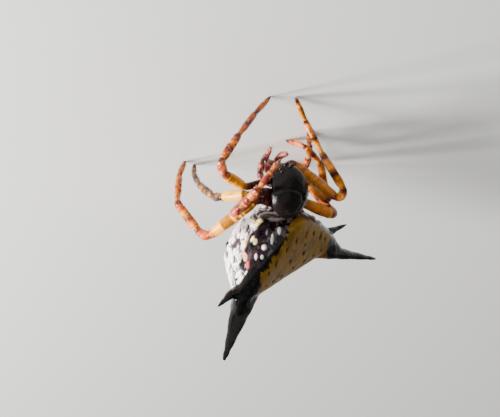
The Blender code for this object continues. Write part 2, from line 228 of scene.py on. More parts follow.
def finish(name, bm, material, nodes, tint=None):
    """Writes a millimetre bmesh as a piece on the frame."""
    bm.normal_update()
    bmesh.ops.recalc_face_normals(bm, faces=bm.faces)
    if tint:
        layer = tint_layer(bm)
        for vert in bm.verts:
            vert[layer] = (*tint(vert), 1.0)
    bmesh.ops.scale(bm, vec=(MM, MM, MM), verts=bm.verts)
    for face in bm.faces:
        face.smooth = len(face.verts) < CAP_SIDES
    mesh = bpy.data.meshes.new(name)
    uncut = bm.verts.layers.float_vector.get("uncut_normal")
    if uncut:
        normals = [vert[uncut].normalized() for vert in bm.verts]
        bm.verts.layers.float_vector.remove(uncut)
    bm.to_mesh(mesh)
    bm.free()
    if uncut:
        caps = {i for face in mesh.polygons if not face.use_smooth for i in face.loop_indices}
        mesh.normals_split_custom_set([(0, 0, 0) if loop.index in caps
                                       else normals[loop.vertex_index]
                                       for loop in mesh.loops])
    mesh.materials.append(material)
    made = bpy.data.objects.new(name, mesh)
    bpy.context.scene.collection.objects.link(made)
    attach(made, "root")
    if nodes:
        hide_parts(*nodes)
    print(name, len(mesh.polygons), "faces")


# %% [markdown]
# A limb or a spine is a round bar of changing thickness. It could be a curve with a bevel,
# but a pulled circle keeps even faces and lets each ring carry its place along the limb.
# So one circle is extruded from station to station, and each new ring is moved, turned
# and scaled into place.

# %% Pulling a circle along stations
def pull_tube(bm, stations, sides, press=Matrix.Identity(3)):
    """A closed tube through (centre, tangent, radius, mark). The mark goes on its points."""
    mark = bm.verts.layers.float.get("mark") or bm.verts.layers.float.new("mark")
    ring = bmesh.ops.create_circle(bm, cap_ends=True, radius=1, segments=sides)["verts"]
    cap = ring[0].link_faces[0]
    across = stations[0][1].orthogonal().normalized()
    old = Matrix.Identity(4)
    for k, (centre, tangent, radius, value) in enumerate(stations):
        tangent = tangent.normalized()
        across = (across - tangent * across.dot(tangent)).normalized()
        up = tangent.cross(across)
        place = Matrix((across * radius, up * radius, tangent * radius)).transposed()
        place = (press @ place).to_4x4()
        place.translation = centre
        if k:
            pulled = bmesh.ops.extrude_face_region(bm, geom=[cap])["geom"]
            ring = [item for item in pulled if isinstance(item, bmesh.types.BMVert)]
            cap = [item for item in pulled if isinstance(item, bmesh.types.BMFace)][0]
        bmesh.ops.transform(bm, matrix=place @ old.inverted(), verts=ring)
        old = place
        for vert in ring:
            vert[mark] = value
    return mark


def on_curve(a, b, c, d, t):
    """A smooth curve at t on its way from b to c. a and d are the points around them."""
    return 0.5 * (2 * b + (c - a) * t + (2 * a - 5 * b + 4 * c - d) * t * t
                  + (3 * b - a - 3 * c + d) * t**3)


def curve_points(points, radii, count):
    """Stations on a smooth curve through the points, marked 0 to 1."""
    points = [Vector(p) for p in points]
    ends = [2 * points[0] - points[1], *points, 2 * points[-1] - points[-2]]
    stations = []
    for k in range(count):
        s = k / (count - 1) * (len(points) - 1)
        i = min(int(s), len(points) - 2)
        t = s - i
        a, b, c, d = ends[i : i + 4]
        tangent = 0.5 * ((c - a) + 2 * (2 * a - 5 * b + 4 * c - d) * t
                         + 3 * (3 * b - a - 3 * c + d) * t * t)
        radius = radii[i] + (radii[i + 1] - radii[i]) * t
        stations.append((on_curve(a, b, c, d, t), tangent, radius, k / (count - 1)))
    return stations


# %% [markdown]
# ## The abdomen
# The back of this spider is a hard plate, wider than long, with a long spine at each
# corner. Under it hangs a soft cone with the spinnerets at its end. It is made as a ball
# whose points are moved onto a stack of smooth outlines, because outlines are easy to
# measure. The spines are pulled tubes, and a voxel remesh melts ball and tubes into one.
# The crease at each root is then filled, since a spine grows out of the plate smoothly.

# %% Outlines of the abdomen
HALF_WIDTH, CORNER, SADDLE, SHOULDER = 5.95, 0.10, 0.35, 0.80
# Height, half width, front and rear reach, front and rear power, fullness, shoulder.
OUTLINES = (
    (-3.40, 1.20, 1.45, -1.70, 2.0, 2.0, 0.55, 0.1),
    (-3.05, 1.70, 2.10, -2.00, 2.0, 2.0, 0.55, 0.3),
    (-2.40, 2.40, 2.60, -2.40, 2.0, 2.0, 0.60, 0.7),
    (-1.70, 3.20, 2.75, -2.65, 1.9, 2.2, 0.70, 0.9),
    (-1.00, 4.20, 2.80, -2.40, 1.8, 2.3, 0.80, 0.8),
    (-0.35, 5.20, 3.15, -1.75, 1.6, 2.4, 0.90, 0.4),
    (0.12, HALF_WIDTH, 3.35, -1.12, 1.5, 2.6, 1.0, 0.0),
    (0.40, 5.80, 3.28, -0.75, 1.5, 2.8, 1.0, 0.0),
    (0.60, 5.25, 2.75, -0.48, 1.6, 3.0, 1.0, 0.0),
    (0.70, 4.20, 2.05, -0.25, 1.8, 3.0, 1.0, 0.0),
    (0.74, 2.20, 1.40, 0.05, 2.0, 2.0, 1.0, 0.0),
)


def outline_at(place):
    """The outline at a place between 0 (bottom) and 1 (top), read from the stack."""
    s = min(max(place, 0.0), 1.0) * (len(OUTLINES) - 1)
    i = min(int(s), len(OUTLINES) - 2)
    rows = [Vector(OUTLINES[min(max(j, 0), len(OUTLINES) - 1)]) for j in range(i - 1, i + 3)]
    return on_curve(*rows, s - i)


def abdomen_point(place, angle):
    """The point of the outline at a place, at an angle from the right toward the front."""
    height, half, front, rear, front_power, rear_power, fullness, share = outline_at(place)
    x = math.cos(angle)
    ahead = math.sin(angle) >= 0
    reach, power = (front, front_power) if ahead else (rear, rear_power)
    y = CORNER + (reach - CORNER) * max(1 - abs(x) ** power, 0) ** fullness
    round_y = (front + rear) / 2 + (front - rear) / 2 * math.sin(angle)
    y += (round_y - y) * (1 - smooth(-1.2, -0.8, height))
    if ahead:
        y += SHOULDER * share * 4 * abs(x) * (1 - abs(x))
    rise = SADDLE * (x * half / HALF_WIDTH) ** 2 * smooth(0.35, 0.6, height)
    return Vector((half * x, y, height + rise))


def abdomen_ball(bm):
    """A ball moved onto the outlines, in the abdomen's axes."""
    ball = bmesh.ops.create_uvsphere(bm, u_segments=96, v_segments=60, radius=1)["verts"]
    for vert in ball:
        level = math.asin(max(min(vert.co.z, 1), -1)) / math.pi + 0.5
        point = abdomen_point(level, math.atan2(vert.co.y, vert.co.x))
        middle = Vector((0, (outline_at(level)[2] + outline_at(level)[3]) / 2, point.z))
        # The last hundredth at each pole draws in to the middle, which closes the ball.
        open_share = 1 - max(0, (abs(level - 0.5) - 0.49) / 0.01)
        vert.co = middle + (point - middle) * max(open_share, 0)


# %% Spines of the plate
SPINES = {
    "long": dict(root=(3.92, -0.36, -0.06), reach=(5.44, -1.56, 2.27), flat=0.58,
                 girth=((0, 0.80), (0.2, 0.70), (0.4, 0.56), (0.7, 0.35), (0.9, 0.20),
                        (1, 0.10))),
    "front": dict(root=(5.00, 0.10, -0.25), reach=(2.85, 0.04, 0.40), flat=1.0,
                  girth=((0, 0.20), (0.35, 0.27), (0.7, 0.16), (1, 0.07))),
    "rear": dict(root=(1.60, -1.30, -0.70), reach=(0.35, -1.40, -0.25), flat=1.0,
                 girth=((0, 0.40), (0.6, 0.28), (0.8, 0.18), (1, 0.08))),
}


def spine_point(kind, side, t):
    """Centre and direction of a spine at t from root (0) to tip (1)."""
    reach = mirrored(SPINES[kind]["reach"], side)
    return mirrored(SPINES[kind]["root"], side) + reach * t, reach


def spine_tube(bm, kind, side):
    """A spine that tapers from root to tip, pressed flat from front to back."""
    stations = []
    rings = 26
    for k in range(rings):
        t = k / (rings - 1)
        centre, tangent = spine_point(kind, side, t)
        stations.append((centre, tangent, ramp(SPINES[kind]["girth"], t), t))
    pull_tube(bm, stations, 20, Matrix.Diagonal((1, SPINES[kind]["flat"], 1)))


RIDGE = (((4.40, -0.05, 0.05), 0.60), ((5.45, -0.36, 0.42), 0.50),
         ((6.25, -0.88, 0.84), 0.26))


def ridge_tube(bm, side):
    """The ridge that leads from a corner of the plate into its long spine."""
    path = [mirrored(point, side) for point, _ in RIDGE]
    pull_tube(bm, curve_points(path, [radius for _, radius in RIDGE], 14), 16)


# %% Melting plate, cone and spines into one skin
def melted(bm, voxel):
    """The bmesh remeshed into one even skin of small squares, voxel wide."""
    mesh = bpy.data.meshes.new("melt")
    bm.to_mesh(mesh)
    bm.free()
    helper = bpy.data.objects.new("melt", mesh)
    bpy.context.scene.collection.objects.link(helper)
    remesh = helper.modifiers.new("melt", "REMESH")
    remesh.mode = "VOXEL"
    remesh.voxel_size = voxel
    graph = bpy.context.evaluated_depsgraph_get()
    result = bmesh.new()
    result.from_object(helper, graph)
    bpy.data.objects.remove(helper)
    bpy.data.meshes.remove(mesh)
    return result


shape = bmesh.new()
abdomen_ball(shape)
for kind in SPINES:
    for side, _ in SIDES:
        spine_tube(shape, kind, side)
for side, _ in SIDES:
    ridge_tube(shape, side)
bmesh.ops.recalc_face_normals(shape, faces=shape.faces)
skin = melted(shape, voxel=0.055)
print("melted skin:", len(skin.verts), "points")

# %% [markdown]
# The remesh leaves small steps, which a few passes of smoothing take away. The long spines
# get more passes, since horn is sleek. At their roots the skin is filled out to a fillet:
# a pass of smoothing moves a point out of a hollow or in from an edge, and only the moves
# out of a hollow are kept.

# %% Smoothing the skin and filling the creases
def soften(bm, verts, passes):
    """Moves each point halfway to the middle of its neighbours, again and again."""
    for _ in range(passes):
        bmesh.ops.smooth_vert(bm, verts=verts, factor=0.5, use_axis_x=True,
                              use_axis_y=True, use_axis_z=True)


def fill_creases(bm, verts, passes):
    """Smooths the points but keeps only moves outward, so hollows fill and edges stay."""
    bm.normal_update()
    for _ in range(passes):
        before = [(vert.co.copy(), vert.normal.copy()) for vert in verts]
        soften(bm, verts, 1)
        for vert, (place, out) in zip(verts, before):
            if (vert.co - place).dot(out) < 0:
                vert.co = place


def on_horn(vert, side):
    """Whether a point lies on the bare part of a long spine, between root and tip."""
    root, reach = spine_point("long", side, 0)
    t = (vert.co - root).dot(reach) / reach.length_squared
    return HORN_FROM < t < HORN_TO and (vert.co - root - reach * t).length < HORN_REACH


# Along a long spine, from root (0) to tip (1): the bare horn, and the fillet's middle. The
# reach of each is how far it goes from there, in mm.
HORN_FROM, HORN_TO, HORN_REACH = 0.3, 0.88, 0.8
FILLET_PLACE, FILLET_REACH = 0.17, 1.7

soften(skin, skin.verts, passes=3)
soften(skin, [vert for side, _ in SIDES for vert in skin.verts if on_horn(vert, side)],
       passes=14)
crease = [vert for vert in skin.verts for side, _ in SIDES
          if (vert.co - spine_point("long", side, FILLET_PLACE)[0]).length < FILLET_REACH]
fill_creases(skin, crease, passes=110)
print(len(crease), "points lie in the fillets")

# %% [markdown]
# The plate is gold with dark pits, the sigilla, where muscles hold it from inside. Its
# front rim and the roots of the spines are black. The sides and belly are wrinkled, black
# with white, cream and pink lumps. One function paints and another one raises or sinks the
# skin from the same masks, so that colour and relief always agree. A mask is a number
# from 0 to 1 that says how much a point belongs to a feature.

# %% Masks of the plate
# Pits of the plate, the same on both sides: place in its axes, half width, half length.
SIGILLA = (
    (0.60, 2.32, 0.11, 0.24), (1.65, 2.10, 0.11, 0.22), (2.72, 1.50, 0.13, 0.28),
    (3.45, 1.05, 0.10, 0.18), (0.82, 0.95, 0.16, 0.15), (0.70, 1.65, 0.10, 0.10),
    (0.00, 0.20, 0.12, 0.10), (1.35, 0.16, 0.15, 0.12), (2.45, 0.18, 0.14, 0.11),
    (3.35, 0.25, 0.12, 0.10),
)


def sigilla_depth(p):
    """1 in the middle of a pit, falling to 0 at its edge."""
    deep = 0.0
    for x, y, a, b in SIGILLA:
        d = math.hypot((abs(p.x) - x) / a, (p.y - y) / b) + 0.7 * noise.noise(p * 4.5)
        deep = max(deep, 1 - smooth(0.6, 1.2, d))
    return deep


# Balls along the spines inside which the skin is black: spine, place along it, radius.
SPINE_BALLS = (
    ("long", 0.25, 0.75), ("long", 0.35, 0.75), ("long", 0.45, 0.75), ("long", 0.55, 0.75),
    ("front", 0.20, 0.50), ("front", 0.35, 0.50), ("front", 0.50, 0.40),
    ("rear", 0.55, 0.35), ("rear", 0.75, 0.35), ("rear", 0.95, 0.35),
)


def spine_share(p):
    """How much a point belongs to a black spine, 0 to 1."""
    ragged = 0.30 * noise.noise(p * 1.8) + 0.12 * noise.noise(p * 6.0)
    edge = 4.05 + 0.42 * max(-p.y, 0) + ragged
    share = smooth(edge, edge + 0.22, abs(p.x))
    if p.z < -0.15:
        share *= smooth(5.0, 5.7, abs(p.x))
    side = 1 if p.x > 0 else -1
    for kind, t, reach in SPINE_BALLS:
        centre, _ = spine_point(kind, side, t)
        share = max(share, 1 - smooth(reach, reach + 0.2, (p - centre).length))
    return share


def plate_share(p, n):
    """How much a point lies on the gold plate. In the middle it laps over the front."""
    lap = (1 - smooth(0.3, 1.7, abs(p.x))) * smooth(1.0, 2.0, p.y)
    low = 0.20 - 0.42 * lap + 0.08 * noise.noise(p * 3.0)
    return smooth(low, low + 0.1, p.z) * smooth(-0.8 * lap, 0.25 - 0.8 * lap, n.z)


def rim_share(p):
    """The black band along the plate's front rim, with a ragged inner edge."""
    x = min(abs(p.x) / HALF_WIDTH, 1)
    front = CORNER + (3.35 - CORNER) * (1 - x**1.5)
    inside = front - p.y + 0.20 * noise.noise(p * 2.2) + 0.14 * noise.noise(p * 7.0)
    wide = -0.15 + 0.36 * smooth(0.8, 2.7, abs(p.x))
    return 1 - smooth(wide, wide + 0.14, inside)


# %% [markdown]
# The skin of the flanks lies in folds that run up toward the long spines, and the lumps
# between the folds are pale, partly by their own colour and partly by a painted highlight
# of low side light; above the pale zone they are grey, partly painted shade. A Voronoi
# pattern stretched along the lie of the folds gives both: its cells are the lumps and its
# borders are the folds. A short table adds the few large spots that stand alone on the dark
# skin in front.

# %% Masks of the flanks
BLACK, PURPLE, GREY, PALE_GREY = [linear(code) for code in
                                  ("#080607", "#2A141E", "#6E6668", "#CFC9CA")]
CREAM, WHITE, PINK, ROSE, BUTTER = [linear(code) for code in
                                    ("#F0E0A8", "#FBF7F4", "#D88A78", "#B8504C", "#F8E08C")]
LIE = Vector((-0.77, -0.34, 0.54)).normalized()  # the way that the left flank's folds run
# Large spots on the left flank: place, half length along the folds, half width, colour.
SPOTS = (
    ((-2.48, 2.03, -1.83), 0.32, 0.16, CREAM), ((-2.82, 1.86, -1.56), 0.24, 0.15, CREAM),
    ((-2.85, 2.20, -0.98), 0.28, 0.14, CREAM), ((-3.30, 1.50, -1.22), 0.34, 0.13, PINK),
    ((-3.59, 1.41, -0.93), 0.32, 0.16, PINK), ((-4.08, 1.35, -0.45), 0.32, 0.16, ROSE),
    ((-4.71, 1.02, -0.02), 0.38, 0.16, WHITE), ((-2.98, 2.29, -0.26), 0.19, 0.15, WHITE),
    ((-5.46, 0.49, 0.11), 0.20, 0.12, WHITE), ((-3.48, 1.91, 0.03), 0.17, 0.10, PALE_GREY),
    ((-3.61, 1.83, -0.31), 0.24, 0.09, PALE_GREY), ((-1.57, 2.94, -0.25), 0.30, 0.12, PALE_GREY),
    ((-2.35, 2.61, -0.17), 0.42, 0.09, PALE_GREY), ((-2.09, 2.77, -0.76), 0.26, 0.08, GREY),
    ((-1.87, 2.85, -1.62), 0.36, 0.30, BUTTER),
)
# Folds across the front: height in the middle, and half of their thickness.
FOLDS = ((-2.02, 0.10), (-1.48, 0.17), (-0.76, 0.15))
LUMPS_ACROSS, LUMPS_ALONG = 2.3, 1.15  # lumps in a mm across the folds and along them


noise.seed_set(3)  # noise_vector would differ from run to run without a seed


def to_left(v):
    """The same point on the left side, because the table of spots describes that side."""
    return Vector((-abs(v.x), v.y, v.z))


def flank_cells(p):
    """0 on a fold and 1 on a lump, and a number that differs from lump to lump."""
    s = to_left(p)
    along = s.dot(LIE)
    spread = (s - LIE * along) * LUMPS_ACROSS + LIE * along * LUMPS_ALONG
    spread += noise.noise_vector(p * 1.4) * 0.55 + noise.noise_vector(p * 4.0) * 0.24
    other_flank = Vector((4.0 * (p.x > 0), 0, 0))  # so the two sides differ in detail
    near, centres = noise.voronoi(spread + other_flank)
    border = near[1] - near[0] + 0.30 * noise.noise(p * 2.1) + 0.05
    return smooth(0.09, 0.33, border), noise.cell(centres[0] * 7.3)


def pale_and_highlight_share(p, pick):
    """Where the flank's lumps are pale, partly their own pale skin and partly a painted
    highlight: below a line from the belly to the long spine.
    """
    s = to_left(p)
    line = s.z + 0.71 * s.x + 0.30 * noise.noise(p * 1.4) + 0.45 * pick
    rise = 0.45 * smooth(1.2, 1.8, -s.x)
    belly = 1 - smooth(-2.25, -1.85, s.z - rise + 0.2 * noise.noise(p * 1.9))
    blotch = smooth(0.18, 0.5, noise.noise(p * 1.25 + Vector((0, 5, 0))))
    return max(1 - smooth(-3.85, -3.5, line), 0.9 * belly) * (1 - 0.6 * blotch)


def spot_at(p, n):
    """Height and colour of the large spots."""
    s, out = to_left(p), Vector((-n.x if p.x > 0 else n.x, n.y, n.z))
    best, colour = 0.0, CREAM
    for place, long, wide, tone in SPOTS:
        away = s - Vector(place)
        away -= out * away.dot(out)
        along = away.dot(LIE)
        d = math.hypot(along / long, (away - LIE * along).length / wide)
        height = 1 - smooth(0.7, 1.15, d + 0.2 * noise.noise(p * 5.0))
        if height > best:
            best, colour = height, tone
    return best, colour


def waist_fold(p):
    """Grey folds across the front, beside the waist, partly their own grey and partly painted
    light that lifts them out of the shade they lie in.
    """
    best = 0.0
    for level, thick in FOLDS:
        d = abs(p.z - level + 0.20 * p.x * p.x + 0.12 * noise.noise(p * 1.7))
        best = max(best, 1 - smooth(0.5 * thick, 1.3 * thick, d))
    return best * (1 - smooth(1.1, 1.6, abs(p.x))) * smooth(2.2, 2.5, p.y)


# %% Colour and relief from the same masks
# The plate's gold is partly its own colour and partly painted shade: darkened, as the plate lies
# turned away from the low side light.
SHADED_GOLD, GOLD_DEEP, GOLD_RED, PIT = [linear(code) for code in
                                  ("#8A6400", "#644400", "#703812", "#2E0E04")]


def abdomen_tint(p, n):
    """The colour of the skin at a point with its normal."""
    gold = SHADED_GOLD.lerp(GOLD_DEEP, 0.7 * smooth(-0.2, 0.5, noise.noise(p * 1.1)))
    gold = gold.lerp(GOLD_RED, 0.85 * smooth(3.6, 4.6, abs(p.x) - 1.1 * p.y))
    gold = gold.lerp(PIT, 0.9 * sigilla_depth(p))
    gold = gold.lerp(BLACK, rim_share(p))
    side = BLACK.lerp(PURPLE, smooth(-0.2, 0.4, noise.noise(p * 2.3)))
    lump, pick = flank_cells(p)
    pale = WHITE.lerp(CREAM, 0.5) if pick < -0.4 else WHITE
    pale = pale.lerp(PINK, 0.35 * smooth(0.1, 0.5, noise.noise(p * 0.9)))
    share = pale_and_highlight_share(p, pick)
    # Pale lumps: partly their own colour, partly a painted highlight of the side light.
    side = side.lerp(pale, lump * share)
    # Grey lumps above the pale zone: partly their own colour, partly painted shade.
    side = side.lerp(GREY, 0.45 * lump * (1 - share) * smooth(0.3, 0.5, pick))
    # The folds' pale grey is partly painted light, brighter than their own colour, against the
    # shade under the front body and legs.
    side = side.lerp(PALE_GREY, 0.85 * waist_fold(p))
    spot, tone = spot_at(p, n)
    side = side.lerp(tone, spot)
    colour = side.lerp(gold, plate_share(p, n))
    return colour.lerp(BLACK, spine_share(p))


def abdomen_rise(p, n):
    """How far a point of the skin is raised (or sunk, below 0), in millimetres."""
    plate, spine = plate_share(p, n), spine_share(p)
    side = (1 - plate) * (1 - spine)
    lump, pick = flank_cells(p)
    spot, _ = spot_at(p, n)
    share = pale_and_highlight_share(p, pick)
    rise = side * (0.10 * (lump - 0.8) * (0.3 + 0.7 * share) + 0.045 * spot
                   + 0.09 * waist_fold(p) + 0.03 * noise.noise(p * 2.0))
    rise += plate * (1 - spine) * (-0.07 * sigilla_depth(p) + 0.015 * noise.noise(p * 2.5))
    rise += spine * 0.012 * noise.noise(p * 5.0)
    return rise


# %% Painting and raising the skin
skin.normal_update()
layer = tint_layer(skin)
moves = []
for vert in skin.verts:
    vert[layer] = (*abdomen_tint(vert.co, vert.normal), 1.0)
    moves.append(vert.normal * abdomen_rise(vert.co, vert.normal))
for vert, move in zip(skin.verts, moves):
    vert.co += move
skin.normal_update()
uncut = skin.verts.layers.float_vector.new("uncut_normal")
for vert in skin.verts:
    vert[uncut] = BODY_TURN @ ABDOMEN_TURN @ vert.normal
print("painted", len(skin.verts), "points")

# %% [markdown]
# The spines are horn, so each is a piece of its own. Modelling them apart would leave a
# seam where two skins meet. Cutting them from the finished skin with a plane keeps both
# sides of the cut exactly alike, and the seam doesn't show.

# %% Cutting the spines free
# Where each is cut, from root (0) to tip (1), and the room around it in its own radii.
CUTS = {"long": (0.40, 1.6), "front": (0.43, 1.8), "rear": (0.80, 1.9)}


def cut_spine(bm, kind, side):
    """Cuts a spine from the skin and returns it. Both ends of the cut are closed."""
    place, room = CUTS[kind]
    centre, axis = spine_point(kind, side, place)
    axis = axis.normalized()
    room *= ramp(SPINES[kind]["girth"], place)

    def placed(face):
        """How far a face lies beyond the cut, and whether it is close to the spine."""
        away = face.calc_center_median() - centre
        along = away.dot(axis)
        return along, (away - axis * along).length < room

    near = []  # the faces that the cut may pass through
    for face in bm.faces:
        along, inside = placed(face)
        if abs(along) < 0.3 and inside:
            near.append(face)
    edges = {edge for face in near for edge in face.edges}
    verts = {vert for face in near for vert in face.verts}
    bmesh.ops.bisect_plane(bm, geom=[*near, *edges, *verts], plane_co=centre,
                           plane_no=axis, dist=1e-5)
    bm.faces.ensure_lookup_table()
    bm.faces.index_update()
    tip = spine_point(kind, side, 1.0)[0]
    first = min(bm.faces, key=lambda face: (face.calc_center_median() - tip).length)
    found, todo = {first.index}, [first]
    while todo:
        for edge in todo.pop().edges:
            for face in edge.link_faces:
                along, inside = placed(face)
                if along > 0 and inside and face.index not in found:
                    found.add(face.index)
                    todo.append(face)
    spine = bm.copy()
    spine.faces.ensure_lookup_table()
    bmesh.ops.delete(spine, geom=[f for f in spine.faces if f.index not in found],
                     context="FACES")
    bmesh.ops.delete(bm, geom=[f for f in bm.faces if f.index in found], context="FACES")
    for cut in (bm, spine):
        bmesh.ops.edgeloop_fill(cut, edges=[edge for edge in cut.edges if edge.is_boundary])
    return spine


for kind in SPINES:
    for side, word in SIDES:
        spine = cut_spine(skin, kind, side)
        place_all(spine, from_abdomen)
        finish(f"{word}_{kind}_spine_horn", spine, PLATE_CHITIN, [f"{word}_{kind}_spine"])
place_all(skin, from_abdomen)
finish("abdomen_skin", skin, PLATE_CHITIN, ["abdomen"])

# %% [markdown]
# ## Spinnerets and waist
# The spinnerets are three pairs of short pegs in a dark collar. The waist, the pedicel,
# is a thin stalk. Both are pulled tubes: a lathe turn would do for the collar, but the
# tube helper is at hand and follows a bent axis.

# %% Spinnerets
SPINNERET_PATH = ((0, -0.55, -2.90), (0, -0.60, -3.35), (0, -0.64, -3.65), (0, -0.68, -3.95))
part = bmesh.new()
pull_tube(part, curve_points([from_abdomen(p) for p in SPINNERET_PATH],
                             (0.46, 0.48, 0.36, 0.14), 22), 24)
for row, (reach, girth) in enumerate(((0.20, 0.12), (0.12, 0.09), (0.17, 0.11))):
    for side, _ in SIDES:
        base = Vector((side * 0.17, -0.42 - 0.17 * row, -3.45))
        tip = base + Vector((-side * 0.02, -0.02, -reach - 0.2))
        pull_tube(part, curve_points([from_abdomen(base), from_abdomen(tip)],
                                     (girth, girth * 0.55), 8), 12)
finish("spinneret_cone", part, SHELL_CHITIN, ["spinnerets"],
       lambda vert: linear("#1B1412"))

# %% Waist
PEDICEL = ((0, -0.70, -0.58), (0, -1.38, -0.62), (0, -1.74, -0.66), (0, -2.50, -0.85))
part = bmesh.new()
waist = curve_points([from_body(p) for p in PEDICEL], (0.26, 0.25, 0.22, 0.26), 30)
# Fine rings along the stalk, by a small wave in its radius.
waist = [(c, t, r * (0.93 + 0.07 * math.cos(m * 60)), m) for c, t, r, m in waist]
pull_tube(part, waist, 16)
finish("waist_stalk", part, SHELL_CHITIN, ["pedicel"],
       lambda vert: linear("#2A1712"))

# %% [markdown]
# ## The front body
# The carapace is a black, glossy, high-fronted shield. A groove parts the head from the
# chest and a pit in the middle marks where the stomach muscles hold. It is made from a
# ball: its points move onto the shield's shape, a plane cuts it at the lower edge, and
# the grooves are pressed in afterwards.

# %% Carapace
LENGTH, WIDTH, TOP, BOTTOM, EDGE = 3.4, 3.2, 1.15, 0.80, -0.25


def shield_point(direction):
    """The point where a direction from the middle leaves the shield."""
    x, y, z = Vector(direction).normalized()
    width = WIDTH / 2 * (1 - 0.26 * y - 0.12 * y * y)
    height = TOP * (1 + 0.30 * max(y, 0)) if z > 0 else BOTTOM
    return Vector((width * x, LENGTH / 2 * y, height * z))


def groove_depth(p):
    """Depth of the head groove and the middle pit, in mm."""
    groove = abs(p.y - 0.45 + 0.81 * (1 - min(abs(p.x) / 1.3, 1)) ** 1.5)
    deep = 0.10 * (1 - smooth(0.0, 0.22, groove)) * smooth(0.1, 0.5, p.z + 0.2)
    deep += 0.12 * (1 - smooth(0.05, 0.28, math.hypot(p.x, (p.y + 0.55) * 0.7)))
    for angle in (25, 60, 100):
        ray = Vector((math.cos(math.radians(angle)), -math.sin(math.radians(angle))))
        away = Vector((abs(p.x), p.y + 0.45))
        aside = abs(away.x * ray.y - away.y * ray.x)
        if away.dot(ray) > 0.25:
            deep += 0.035 * (1 - smooth(0.0, 0.14, aside))
    return deep


part = bmesh.new()
bmesh.ops.create_uvsphere(part, u_segments=96, v_segments=64, radius=1)
for vert in part.verts:
    vert.co = shield_point(vert.co)
bmesh.ops.bisect_plane(part, geom=part.verts[:] + part.edges[:] + part.faces[:],
                       plane_co=(0, 0, EDGE + 0.025), plane_no=(0, 0, 1), clear_inner=True)
bmesh.ops.edgeloop_fill(part, edges=[e for e in part.edges if e.is_boundary])
part.normal_update()
for vert in part.verts:
    sink = groove_depth(vert.co) + 0.012 * (1 + noise.noise(vert.co * 6.0))
    vert.co -= vert.co.normalized() * sink * smooth(EDGE, 0.2, vert.co.z)
place_all(part, from_body)
finish("carapace_shield", part, SHELL_CHITIN, ["carapace"],
       lambda vert: linear("#15100F"))

# %% Sternum and the soft skin above it
STERNUM_WIDTH, STERNUM_LENGTH = 0.66, 0.78  # as shares of the carapace's
part = bmesh.new()
bmesh.ops.create_uvsphere(part, u_segments=48, v_segments=32, radius=1)
for vert in part.verts:
    vert.co = shield_point(vert.co)
    vert.co.z = min(vert.co.z, 0.0)
    vert.co.x *= STERNUM_WIDTH
    vert.co.y *= STERNUM_LENGTH
bmesh.ops.remove_doubles(part, verts=part.verts, dist=0.002)
place_all(part, from_body)
finish("sternum_shield", part, SHELL_CHITIN, ["sternum"],
       lambda vert: linear("#4A1C14"))

# %% [markdown]
# Eight small eyes sit on the front of the shield: four in the middle and a pair at each
# side. Each is a glossy black ball, sunk into the shield by a third of its width, that
# looks straight out.
# The lens is near black and very smooth. A painted sheen makes it a little browner toward its
# rim, by the angle at which it faces the camera.

# %% Eyes
EYES = {
    "front_middle": ((0.17, 1.60, 0.42), 0.10),
    "back_middle": ((0.22, 1.50, 0.78), 0.11),
    "front_side": ((0.74, 1.40, 0.22), 0.09),
    "back_side": ((0.86, 1.25, 0.38), 0.09),
}
LENS_LIFT = 0.035  # how far a lens's middle lies above the shield
EYE_LENS, tree, shader = new_material("eye_lens")
# Painted sheen: the lens's facing angle to the camera turns its colour browner toward the rim.
facing = add_node(tree, "ShaderNodeLayerWeight", Blend=0.35)
shine = add_node(tree, "ShaderNodeValToRGB", Fac=facing.outputs["Facing"])
shine.color_ramp.elements[0].color = (*linear("#050405"), 1)
shine.color_ramp.elements[1].color = (*linear("#3A2418"), 1)
tree.links.new(shine.outputs["Color"], shader.inputs["Base Color"])
shader.inputs["Roughness"].default_value = 0.06
shader.inputs["IOR"].default_value = 1.5
for place, (direction, radius) in EYES.items():
    for side, word in SIDES:
        toward = mirrored(direction, side)
        here = shield_point(toward)
        across = toward.orthogonal().normalized()
        along = toward.cross(across).normalized()
        out = (shield_point(toward + across * 0.01) - here).cross(
            shield_point(toward + along * 0.01) - here).normalized()
        out = -out if out.dot(here) < 0 else out
        part = bmesh.new()
        bmesh.ops.create_uvsphere(part, u_segments=24, v_segments=16, radius=radius)
        turn = out.to_track_quat("Z", "Y").to_matrix()
        for vert in part.verts:
            vert.co = from_body(here + out * LENS_LIFT + turn @ vert.co)
        finish(f"{word}_{place}_lens", part, EYE_LENS, [f"{word}_{place}_eye"])

# %% [markdown]
# ## Jaws and feelers
# The two chelicerae hang under the face and each carries a folded fang. The palps beside
# them look like short legs. They are pulled tubes whose thickness follows their joints.

# %% Chelicerae and fangs
JAW = ((0.32, 0.70, -0.56), (0.32, 1.25, -0.62), (0.33, 1.55, -0.85), (0.34, 1.72, -1.15),
       (0.33, 1.74, -1.38))
FANG = ((0.33, 1.72, -1.20), (0.31, 1.68, -1.36), (0.22, 1.52, -1.42), (0.12, 1.40, -1.34))


for side, word in SIDES:
    part = bmesh.new()
    path = [from_body(mirrored(p, side)) for p in JAW]
    mark = pull_tube(part, curve_points(path, (0.22, 0.25, 0.28, 0.23, 0.12), 28), 20)
    fang = [from_body(mirrored(p, side)) for p in FANG]
    pull_tube(part, [(c, t, r, 2.0) for c, t, r, m in
                     curve_points(fang, (0.08, 0.07, 0.05, 0.015), 14)], 10)
    finish(f"{word}_jaw", part, LEG_CHITIN, [f"{word}_chelicera"],
           lambda vert: linear("#130C0A") if vert[mark] > 1.5 else
           linear("#8E3320").lerp(linear("#3A140E"), smooth(0.2, 0.9, vert[mark])))

